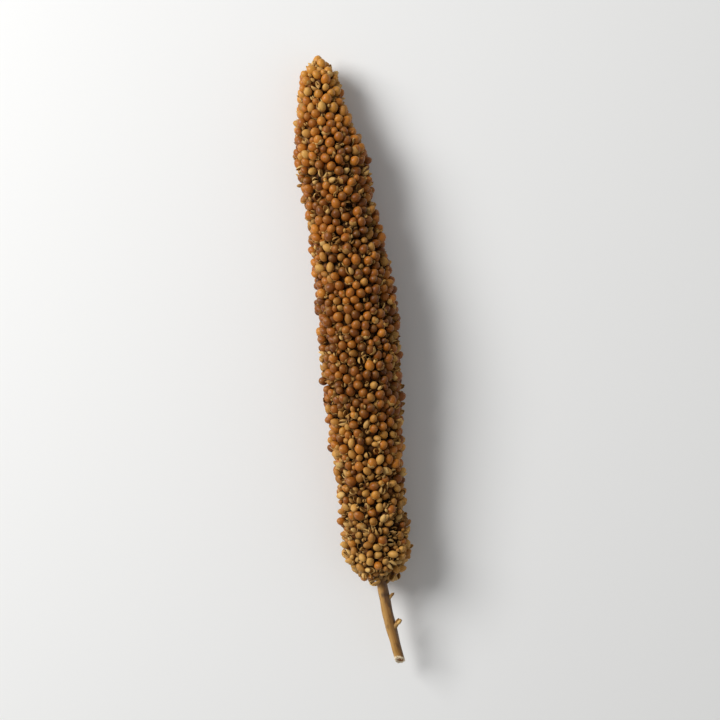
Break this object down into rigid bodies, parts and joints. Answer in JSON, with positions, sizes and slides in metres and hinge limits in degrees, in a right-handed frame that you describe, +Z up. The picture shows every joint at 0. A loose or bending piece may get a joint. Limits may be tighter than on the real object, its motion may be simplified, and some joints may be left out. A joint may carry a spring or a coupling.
{
  "type": "millet seed head",
  "caption": "Dried foxtail millet seed head lying on its side: a tapered spike packed with round grains, a pale foot of unripe spikelets and a short cut stalk.",
  "frame": {"origin": "on the surface that the head rests on, below the centre of its bounding box", "axes": "+Y along the head towards its tip, with the cut stalk at -Y; +Z up; +X to the right, seen from above with the tip away"},
  "size_m": [0.021, 0.1404, 0.0193],
  "materials": {
    "ripe_grain": "small round red-brown grains with a soft shine, dark between them",
    "pale_husk": "dry papery straw-coloured husks, matt",
    "dry_stalk": "dry straw with fine lengthwise streaks, matt"
  },
  "bodies": {
    "root": {"grain_head": "ripe_grain", "foot_spikelets": "pale_husk", "stalk": "dry_stalk"}
  },
  "joints": []
}
